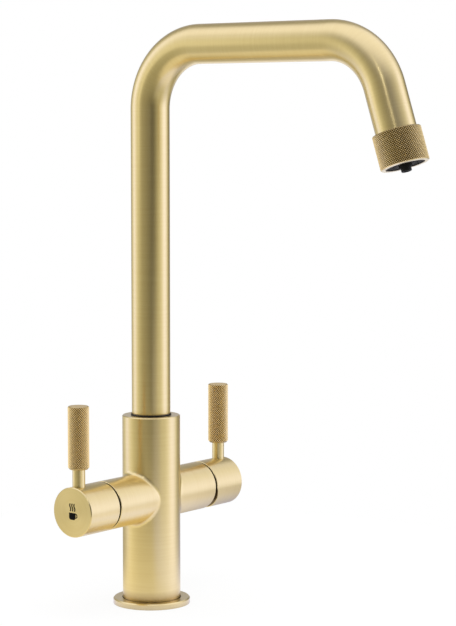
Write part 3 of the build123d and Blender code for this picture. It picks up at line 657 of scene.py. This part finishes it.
def map_brushing(mesh, lengths):
    """Maps the tube's mesh in metres, round the tube and along it. A face that closes a ring ends one
    whole turn on."""
    brush = mesh.uv_layers.new(name=BRUSH_MAP)
    for polygon in mesh.polygons:
        corners = [mesh.loops[loop].vertex_index for loop in polygon.loop_indices]
        columns = [corner % TUBE_SEGMENTS for corner in corners]
        closes_ring = max(columns) - min(columns) > 1
        for loop, corner, column in zip(polygon.loop_indices, corners, columns):
            turn = TUBE_SEGMENTS if closes_ring and column == 0 else column
            round_tube = 2 * math.pi * TUBE_RADIUS * turn / TUBE_SEGMENTS
            brush.data[loop].uv = (round_tube, lengths[corner // TUBE_SEGMENTS])


# Knurled pieces

KNURL_DEPTH = 0.0006
DIAMOND_STEPS = 8
EDGE_STEP = 0.0001
# A hole as small as a point closes an end face
POINT_RADIUS = 0.00002

# Diamonds round each piece and rows of them, and how far the points are flattened
GRIP_COUNTS = (27, 25)
GRIP_FLATNESS = 1.35
COLLAR_COUNTS = (61, 13)
COLLAR_FLATNESS = 1.9

# Levels of the plain faces, on the scale of the knurl: 0 takes the painted shade of its grooves, 1 the worn
# brass of its points, and well over 1 a painted highlight
GRIP_BORE_SHADE = 0.3
GRIP_EDGE_SHADE = 0.28
GRIP_TOP_WEAR = 0.55
COLLAR_BACK_SHADE = 0.5
COLLAR_MOUTH_WEAR = 0.9
COLLAR_HIGHLIGHT_LEVEL = 1.6
COLLAR_LIP_SHADE = 0.1


def wave(value):
    """A triangle wave from 0 at whole numbers to 1 half way between them."""
    return 1.0 - abs(2.0 * (value - math.floor(value)) - 1.0)


def knurled_piece(name, profiles, radius, span, counts, flatness, material, place, node, body):
    """A round piece about z with a diamond knurl between the two heights of its span, with a count of
    diamonds round it and a count of rows. A flatness over 1 cuts the points of the diamonds flat. The
    plain outlines below and above the knurl are lists of (radius, height, wear and painted light), and
    close the piece."""
    profile_low, profile_high = profiles
    low, high = span
    around, rows = counts
    columns = around * DIAMOND_STEPS
    lines = rows * DIAMOND_STEPS
    vertices = []
    wear_and_painted_light_levels = []

    def add_vertex(column, ring_radius, height, wear_and_painted_light):
        angle = 2 * math.pi * column / columns
        spot = Vector((ring_radius * math.cos(angle), ring_radius * math.sin(angle), height))
        vertices.append(place @ spot)
        wear_and_painted_light_levels.append(wear_and_painted_light)

    def add_plain_rings(profile):
        for ring_radius, height, wear_and_painted_light in profile:
            for column in range(columns):
                add_vertex(column, ring_radius, height, wear_and_painted_light)

    add_plain_rings(profile_low)
    for line in range(lines + 1):
        height = low + (high - low) * line / lines
        for column in range(columns):
            u = column / DIAMOND_STEPS
            v = line / DIAMOND_STEPS
            level = min(1.0, flatness * min(wave(u + v), wave(u - v)))
            add_vertex(column, radius - KNURL_DEPTH * (1.0 - level), height, level)
    add_plain_rings(profile_high)
    faces = ring_faces(len(profile_low) + lines + 1 + len(profile_high), columns)
    piece = mesh_piece(name, vertices, faces, material, body, KNURL_SHARP_ANGLE)
    attribute = piece.data.attributes.new(WEAR_AND_PAINTED_LIGHT_ATTRIBUTE, "FLOAT", "POINT")
    attribute.data.foreach_set("value", wear_and_painted_light_levels)
    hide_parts(node)
    return piece


def grip_piece(name, reach, node, body):
    """A lever's grip, open below for the stem, with painted shade in its bore, on its edges and on a rim
    round its top.
    """
    low = GRIP_BOTTOM + GRIP_BOTTOM_EDGE
    high = GRIP_TOP - GRIP_TOP_EDGE
    bore_top = GRIP_BOTTOM + GRIP_BORE_DEPTH
    top_radius = GRIP_RADIUS - GRIP_TOP_EDGE
    profile_low = [
        # Painted shade in the bore and on the grip's lower face
        (POINT_RADIUS, bore_top, GRIP_BORE_SHADE),
        (GRIP_BORE_RADIUS, bore_top, GRIP_BORE_SHADE),
        (GRIP_BORE_RADIUS, GRIP_BOTTOM, GRIP_BORE_SHADE),
        (GRIP_RADIUS - GRIP_BOTTOM_EDGE, GRIP_BOTTOM, GRIP_BORE_SHADE),
        (GRIP_RADIUS - GRIP_EDGE_INSET, low - EDGE_STEP, GRIP_EDGE_SHADE),
    ]
    profile_high = [
        # Painted shade on the edges and on a rim round the top
        (GRIP_RADIUS - GRIP_EDGE_INSET, high + EDGE_STEP, GRIP_EDGE_SHADE),
        (top_radius - EDGE_STEP, GRIP_TOP, GRIP_EDGE_SHADE),
        (top_radius - GRIP_DARK_RIM, GRIP_TOP, GRIP_TOP_WEAR),
        (POINT_RADIUS, GRIP_TOP, GRIP_TOP_WEAR),
    ]
    place = Matrix.Translation((reach, 0, 0))
    return knurled_piece(
        name, (profile_low, profile_high), GRIP_RADIUS, (low, high), GRIP_COUNTS, GRIP_FLATNESS,
        grip_brass, place, node, body,
    )


def collar_piece():
    """The nozzle's collar, with a painted highlight round the outer edge of its mouth, and painted shade on
    the lip inside the mouth and where the collar meets the tube.
    """
    low = COLLAR_EDGE + EDGE_STEP
    high = COLLAR_LENGTH - COLLAR_MOUTH_EDGE - EDGE_STEP
    tube_hole = TUBE_RADIUS + COLLAR_PLAY
    lip_inside = COLLAR_LENGTH - COLLAR_LIP_THICKNESS
    profile_low = [
        # Painted shade where the collar meets the tube
        (COLLAR_BORE_RADIUS, TUBE_IN_COLLAR, COLLAR_BACK_SHADE),
        (tube_hole, TUBE_IN_COLLAR, COLLAR_BACK_SHADE),
        (tube_hole, 0.0, COLLAR_BACK_SHADE),
        (COLLAR_RADIUS - COLLAR_EDGE, 0.0, COLLAR_BACK_SHADE),
        (COLLAR_RADIUS, COLLAR_EDGE, COLLAR_BACK_SHADE),
    ]
    profile_high = [
        # A painted highlight round the mouth's outer edge, then painted shade on the lip inside it
        (COLLAR_RADIUS, COLLAR_LENGTH - COLLAR_MOUTH_EDGE, COLLAR_MOUTH_WEAR),
        (COLLAR_RADIUS - COLLAR_MOUTH_EDGE, COLLAR_LENGTH, COLLAR_HIGHLIGHT_LEVEL),
        (COLLAR_HIGHLIGHT_RADIUS, COLLAR_LENGTH, COLLAR_HIGHLIGHT_LEVEL),
        (COLLAR_HIGHLIGHT_RADIUS - EDGE_STEP, COLLAR_LENGTH, COLLAR_LIP_SHADE),
        (COLLAR_LIP_RADIUS, COLLAR_LENGTH, COLLAR_LIP_SHADE),
        (COLLAR_LIP_RADIUS, lip_inside, COLLAR_LIP_SHADE),
        (COLLAR_BORE_RADIUS, lip_inside, COLLAR_LIP_SHADE),
    ]
    return knurled_piece(
        "nozzle_collar_knurled", (profile_low, profile_high), COLLAR_RADIUS, (low, high), COLLAR_COUNTS,
        COLLAR_FLATNESS, collar_brass, nozzle_frame(), "nozzle_collar", "spout",
    )


# Symbol for boiling water on the knob's end: a plain mug with three lines of steam

SYMBOL_PROUD = 0.00003
SYMBOL_SUNK = 0.0003
MUG_HALF_WIDTH = 0.0027
MUG_RIM = -0.0002
MUG_FOOT = -0.0046
MUG_CORNER_RADIUS = 0.0016
MUG_CORNER_STEPS = 6
HANDLE_CENTRE = (0.0026, -0.0020)
HANDLE_RADIUS = 0.00125
HANDLE_WIDTH = 0.00075
HANDLE_SWEEP = math.radians(160)
HANDLE_STEPS = 12
STEAM_SPACING = 0.0017
STEAM_LOW = 0.0008
STEAM_HIGH = 0.0056
STEAM_SWAY = 0.0004
STEAM_WIDTH = 0.0009
STEAM_STEPS = 16


def band_outline(points, width):
    """The outline of a line of even width: up one side and back down the other."""
    left = []
    right = []
    for i, (x, y) in enumerate(points):
        before = points[max(i - 1, 0)]
        after = points[min(i + 1, len(points) - 1)]
        along = Vector((after[0] - before[0], after[1] - before[1])).normalized()
        left.append((x - along.y * width / 2, y + along.x * width / 2))
        right.append((x + along.y * width / 2, y - along.x * width / 2))
    return left + right[::-1]


def mug_outline():
    """A straight-sided mug with rounded lower corners: down one side and back up the other."""
    corner_x = MUG_HALF_WIDTH - MUG_CORNER_RADIUS
    corner_y = MUG_FOOT + MUG_CORNER_RADIUS
    side = [(MUG_HALF_WIDTH, MUG_RIM)]
    for i in range(MUG_CORNER_STEPS + 1):
        angle = math.pi / 2 * i / MUG_CORNER_STEPS
        x = corner_x + MUG_CORNER_RADIUS * math.cos(angle)
        y = corner_y - MUG_CORNER_RADIUS * math.sin(angle)
        side.append((x, y))
    return [(-x, y) for x, y in side] + side[::-1]


def handle_outline():
    centre_x, centre_y = HANDLE_CENTRE
    points = []
    for i in range(HANDLE_STEPS + 1):
        angle = HANDLE_SWEEP * (0.5 - i / HANDLE_STEPS)
        x = centre_x + HANDLE_RADIUS * math.cos(angle)
        y = centre_y + HANDLE_RADIUS * math.sin(angle)
        points.append((x, y))
    return band_outline(points, HANDLE_WIDTH)


def steam_outline(shift):
    points = []
    for i in range(STEAM_STEPS + 1):
        share = i / STEAM_STEPS
        sway = STEAM_SWAY * math.sin(2 * math.pi * share)
        points.append((shift + sway, STEAM_LOW + (STEAM_HIGH - STEAM_LOW) * share))
    return band_outline(points, STEAM_WIDTH)


def symbol_piece():
    """Thin black enamel shapes on the boiling-water knob's end face, seen from -X. Each outline has two
    sides with as many points, so strips of quads fill its front and its back."""
    outlines = [mug_outline(), handle_outline()]
    outlines += [steam_outline(shift) for shift in (-STEAM_SPACING, 0.0, STEAM_SPACING)]
    vertices = []
    faces = []
    for outline in outlines:
        count = len(outline)
        front = len(vertices)
        back = front + count
        for depth in (KNOB_END + SYMBOL_PROUD, KNOB_END - SYMBOL_SUNK):
            vertices += [(-depth, -right, ARM_HEIGHT + up) for right, up in outline]
        for i in range(count // 2 - 1):
            quad = (i, i + 1, count - 2 - i, count - 1 - i)
            faces.append(tuple(front + corner for corner in quad))
            faces.append(tuple(back + corner for corner in reversed(quad)))
        for i in range(count):
            j = (i + 1) % count
            faces.append((front + j, front + i, back + i, back + j))
    return mesh_piece("boil_symbol", vertices, faces, enamel, "boil_lever")


# Floor: white to the camera with a faint shadow, and a graded studio floor to metal

FLOOR_RADIUS = 0.33
FLOOR_SEGMENTS = 96
FLOOR_COLOR = (0.95, 0.95, 0.95)
FLOOR_PLAIN_SHARE = 0.86

# Levels and tints that metal sees, and the spans over which they change: forward is towards the camera,
# sideways is to the right of the picture, and the others are distances from the column's axis
FLOOR_BEHIND = 0.50
FLOOR_AT_SIDES = 1.00
FLOOR_IN_FRONT = 0.90
FLOOR_FORWARD_FROM_BEHIND = (-0.12, -0.02)
FLOOR_FORWARD_TO_FRONT = (0.01, 0.10)
FLOOR_TILT = 0.08
FLOOR_SIDEWAYS_TILT = (-0.10, 0.10)
FLOOR_NEAR = 0.85
FLOOR_DISTANCE_NEAR = (0.0375, 0.0475)
FLOOR_TINT = (1.04, 0.99, 0.86)
FLOOR_TINT_COOL = (0.97, 1.00, 1.40)
FLOOR_DISTANCE_COOL = (0.030, 0.055)
FLOOR_SIDEWAYS_COOL = (0.01, 0.07)
FLOOR_TINT_FAR = (0.98, 0.98, 1.20)
FLOOR_SIDEWAYS_FAR = (0.10, 0.15)


def floor_for_metal(tree):
    """The tint and the level of the floor that metal sees."""
    place = object_position(tree)
    forward = vector_node(tree, "DOT_PRODUCT", place, TOWARDS_CAMERA)
    sideways = vector_node(tree, "DOT_PRODUCT", place, PICTURE_RIGHT)
    distance = vector_node(tree, "LENGTH", place)
    cool_near = ranged(tree, distance, FLOOR_DISTANCE_COOL, (1.0, 0.0))
    cool = math_node(tree, "MAXIMUM", cool_near, ranged(tree, sideways, FLOOR_SIDEWAYS_COOL))
    tint = mix_color(tree, cool, FLOOR_TINT, FLOOR_TINT_COOL)
    tint = mix_color(tree, ranged(tree, sideways, FLOOR_SIDEWAYS_FAR), tint, FLOOR_TINT_FAR)
    behind = ranged(tree, forward, FLOOR_FORWARD_FROM_BEHIND, (FLOOR_BEHIND, FLOOR_AT_SIDES))
    in_front = ranged(tree, forward, FLOOR_FORWARD_TO_FRONT, (FLOOR_AT_SIDES, FLOOR_IN_FRONT))
    tilt = ranged(tree, sideways, FLOOR_SIDEWAYS_TILT, (1.0 - FLOOR_TILT, 1.0 + FLOOR_TILT))
    near = ranged(tree, distance, FLOOR_DISTANCE_NEAR, (FLOOR_NEAR, 1.0))
    level = math_node(tree, "MULTIPLY", math_node(tree, "MINIMUM", behind, in_front), tilt)
    return tint, math_node(tree, "MULTIPLY", level, near)


def white_floor():
    mesh = bpy.data.meshes.new("floor")
    angles = [2 * math.pi * i / FLOOR_SEGMENTS for i in range(FLOOR_SEGMENTS)]
    rim = [(FLOOR_RADIUS * math.cos(angle), FLOOR_RADIUS * math.sin(angle), 0) for angle in angles]
    mesh.from_pydata(rim, [], [range(FLOOR_SEGMENTS)])
    floor = bpy.data.objects.new("floor", mesh)
    bpy.context.scene.collection.objects.link(floor)
    material = bpy.data.materials.new("floor_white")
    tree, output = empty_tree(material, "ShaderNodeOutputMaterial")
    path = tree.nodes.new("ShaderNodeLightPath")
    to_metal = path.outputs["Is Glossy Ray"]
    tint, level = floor_for_metal(tree)
    lit = tree.nodes.new("ShaderNodeBsdfDiffuse")
    lit.inputs["Color"].default_value = (*FLOOR_COLOR, 1.0)
    plain = tree.nodes.new("ShaderNodeEmission")
    tree.links.new(mix_color(tree, to_metal, WHITE, tint), plain.inputs["Color"])
    tree.links.new(mix(tree, "FLOAT", to_metal, 1.0, level), plain.inputs["Strength"])
    to_camera = math_node(tree, "MULTIPLY", path.outputs["Is Camera Ray"], FLOOR_PLAIN_SHARE)
    surface = tree.nodes.new("ShaderNodeMixShader")
    tree.links.new(math_node(tree, "MAXIMUM", to_camera, to_metal), surface.inputs[0])
    tree.links.new(lit.outputs[0], surface.inputs[1])
    tree.links.new(plain.outputs[0], surface.inputs[2])
    tree.links.new(surface.outputs[0], output.inputs[0])
    mesh.materials.append(material)


# Studio round the tap: white to the camera, bright panels at both sides and a dim front to metal

# Brightness by the angle from the camera's side in degrees, positive to the right
STUDIO_LEVELS = [
    (-180, 0.52),
    (-162, 0.42),
    (-146, 0.40),
    (-130, 0.82),
    (-113, 1.25),
    (-93, 0.98),
    (-75, 0.63),
    (-50, 0.38),
    (-28, 0.28),
    (-6, 0.13),
    (14, 0.03),
    (31, 0.21),
    (50, 0.62),
    (70, 0.98),
    (88, 1.34),
    (105, 1.18),
    (118, 0.80),
    (131, 0.28),
    (146, 0.20),
    (162, 0.38),
    (180, 0.52),
]
BACKDROP_ANGLE = 160

# Tints of the shade, the room, the panels and the backdrop, and the brightness at which they change
WARM_TINT = Vector((1.0, 0.95, 0.72))
NEUTRAL_TINT = Vector((1.0, 0.99, 0.82))
COOL_TINT = Vector((1.0, 1.05, 1.60))
DAYLIGHT_TINT = Vector((1.0, 1.0, 1.10))
NEUTRAL_SPAN = (0.2, 0.6)
COOL_SPAN = (0.9, 1.25)

# Levels overhead and underneath. The spans are shares of a direction: upwards, to the front, or to the lit
# side, which is the front and a part of the right
OVERHEAD = 1.10
OVERHEAD_BEHIND = 0.28
UP_TO_OVERHEAD = (0.22, 0.80)
RIGHT_PART = 0.5
LIT_SIDE_SPAN = (-0.55, -0.40)
UNDERNEATH = 0.46
UNDER_BACKDROP = 1.60
GROUND_SHARE = 0.62
UP_TO_GROUND = (-0.05, -0.40)
FRONT_TO_BACKDROP = (-0.70, -0.90)

# The dark patch above the camera: how dark it gets, and what is left of it overhead
PATCH_SHARE = 0.48
PATCH_SHARE_OVERHEAD = 0.10
PATCH_UP_START = (0.12, 0.38)
PATCH_UP_END = (0.45, 0.80)
PATCH_FRONT_SPAN = (-0.10, 0.55)


def share_of(span, value):
    """How far a value has come in a span, from 0 to 1."""
    low, high = span
    return min(1.0, max(0.0, (value - low) / (high - low)))


def panel_color(level, daylight=False):
    """Warm shade, a neutral room and cool panels by their brightness, or plain daylight."""
    if daylight:
        return tuple(DAYLIGHT_TINT * level)
    tint = WARM_TINT.lerp(NEUTRAL_TINT, share_of(NEUTRAL_SPAN, level))
    return tuple(tint.lerp(COOL_TINT, share_of(COOL_SPAN, level)) * level)


def panels_around(tree, front, side):
    """The color of the studio at eye level, all the way round."""
    share = ranged(tree, math_node(tree, "ARCTAN2", side, front), (-math.pi, math.pi))
    ramp = tree.nodes.new("ShaderNodeValToRGB")
    stops = ramp.color_ramp.elements
    while len(stops) > 1:
        stops.remove(stops[-1])
    for i, (degrees, level) in enumerate(STUDIO_LEVELS):
        spot = (degrees + 180) / 360
        stop = stops[0] if i == 0 else stops.new(spot)
        stop.position = spot
        stop.color = (*panel_color(level, abs(degrees) > BACKDROP_ANGLE), 1.0)
    tree.links.new(share, ramp.inputs[0])
    return ramp.outputs[0]


def studio_world():
    world = bpy.data.worlds.new("studio")
    bpy.context.scene.world = world
    tree, output = empty_tree(world, "ShaderNodeOutputWorld")
    way = tree.nodes.new("ShaderNodeTexCoord").outputs["Generated"]
    front = vector_node(tree, "DOT_PRODUCT", way, TOWARDS_CAMERA)
    side = vector_node(tree, "DOT_PRODUCT", way, PICTURE_RIGHT)
    up = separate(tree, way)[2]

    right_part = math_node(tree, "MULTIPLY", math_node(tree, "MAXIMUM", side, 0.0), RIGHT_PART)
    lit_side = ranged(tree, math_node(tree, "ADD", front, right_part), LIT_SIDE_SPAN)
    ceiling = mix_color(tree, lit_side, panel_color(OVERHEAD_BEHIND), panel_color(OVERHEAD))
    overhead = ranged(tree, up, UP_TO_OVERHEAD)
    studio = mix_color(tree, overhead, panels_around(tree, front, side), ceiling)

    patch_start = ranged(tree, up, PATCH_UP_START, (0.0, PATCH_SHARE))
    patch_end = ranged(tree, up, PATCH_UP_END, (PATCH_SHARE, PATCH_SHARE_OVERHEAD))
    patch_height = math_node(tree, "MINIMUM", patch_start, patch_end)
    patch = math_node(tree, "MULTIPLY", patch_height, ranged(tree, front, PATCH_FRONT_SPAN))
    studio = mix_color(tree, patch, studio, BLACK)

    backdrop = ranged(tree, front, FRONT_TO_BACKDROP)
    ground = mix_color(tree, backdrop, panel_color(UNDERNEATH), panel_color(UNDER_BACKDROP, True))
    studio = mix_color(tree, ranged(tree, up, UP_TO_GROUND, (0.0, GROUND_SHARE)), studio, ground)

    path = tree.nodes.new("ShaderNodeLightPath")
    plain = math_node(tree, "MAXIMUM", path.outputs["Is Camera Ray"], path.outputs["Is Diffuse Ray"])
    background = tree.nodes.new("ShaderNodeBackground")
    tree.links.new(mix_color(tree, plain, studio, WHITE), background.inputs["Color"])
    background.inputs["Strength"].default_value = 1.0
    tree.links.new(background.outputs[0], output.inputs[0])


# Lamps and camera


def area_lamp(name, place, target, width, height, watts, in_metal=True):
    """A rectangular lamp that faces its target. Metal mirrors it unless in_metal is off."""
    data = bpy.data.lights.new(name, "AREA")
    data.shape = "RECTANGLE"
    data.size = width
    data.size_y = height
    data.energy = watts
    lamp = bpy.data.objects.new(name, data)
    bpy.context.scene.collection.objects.link(lamp)
    lamp.location = place
    lamp.visible_glossy = in_metal
    lamp.visible_camera = False
    lamp.rotation_euler = (target - place).to_track_quat("-Z", "Y").to_euler()


def lamps():
    """A narrow strip above the camera draws the line of light on the spout's tail. A panel at the left lights
    the near end of the spout's run, and a low one in front the column. A soft lamp hangs overhead."""
    strip_place = TOWARDS_CAMERA * 1.15 - PICTURE_RIGHT * 0.10 + Z_AXIS * 0.84
    spout_tail = Vector((0, -0.18, 0.31))
    area_lamp("strip", strip_place, spout_tail, width=0.024, height=0.26, watts=0.32)

    run_start = Vector((0, -0.05, SPOUT_HEIGHT))
    left_place = run_start + Vector((-0.79, 0.61, 0.15)) * 0.38
    area_lamp("left_panel", left_place, run_start, width=0.07, height=0.28, watts=0.026)

    low_column = Vector((0, 0, 0.075))
    low_place = low_column + TOWARDS_CAMERA * 0.44 + PICTURE_RIGHT * 0.235
    area_lamp("low_panel", low_place, low_column, width=0.36, height=0.10, watts=0.043)

    overhead_place = Vector((-0.25, -0.45, 1.5))
    above_arms = Vector((0, 0, 0.1))
    area_lamp("overhead", overhead_place, above_arms, width=0.9, height=0.9, watts=5.0, in_metal=False)


def photo_camera():
    data = bpy.data.cameras.new("camera")
    data.sensor_width = SENSOR_WIDTH
    data.sensor_fit = "AUTO"
    data.lens = FOCAL_PIXELS * SENSOR_WIDTH / IMAGE_HEIGHT_PIXELS
    data.clip_start = CAMERA_NEAREST
    data.clip_end = CAMERA_FARTHEST
    camera = bpy.data.objects.new("camera", data)
    bpy.context.scene.collection.objects.link(camera)
    heading = CAMERA_AZIMUTH + CAMERA_PAN
    level = math.cos(CAMERA_PITCH)
    forward = Vector((-math.sin(heading) * level, math.cos(heading) * level, -math.sin(CAMERA_PITCH)))
    right = Vector((math.cos(heading), math.sin(heading), 0))
    up = right.cross(forward)
    turn = Matrix((right, up, -forward)).transposed().to_4x4()
    place = TOWARDS_CAMERA * CAMERA_DISTANCE + Z_AXIS * CAMERA_HEIGHT
    camera.matrix_world = Matrix.Translation(place) @ turn
    bpy.context.scene.camera = camera


dress_cad_nodes()
spout_piece()
collar_piece()
grip_piece("boil_grip_knurled", -LEVER_REACH, "boil_lever_grip", "boil_lever")
grip_piece("mixer_grip_knurled", LEVER_REACH, "mixer_lever_grip", "mixer_lever")
symbol_piece()
white_floor()
studio_world()
lamps()
photo_camera()
bpy.context.scene.view_settings.view_transform = "Standard"
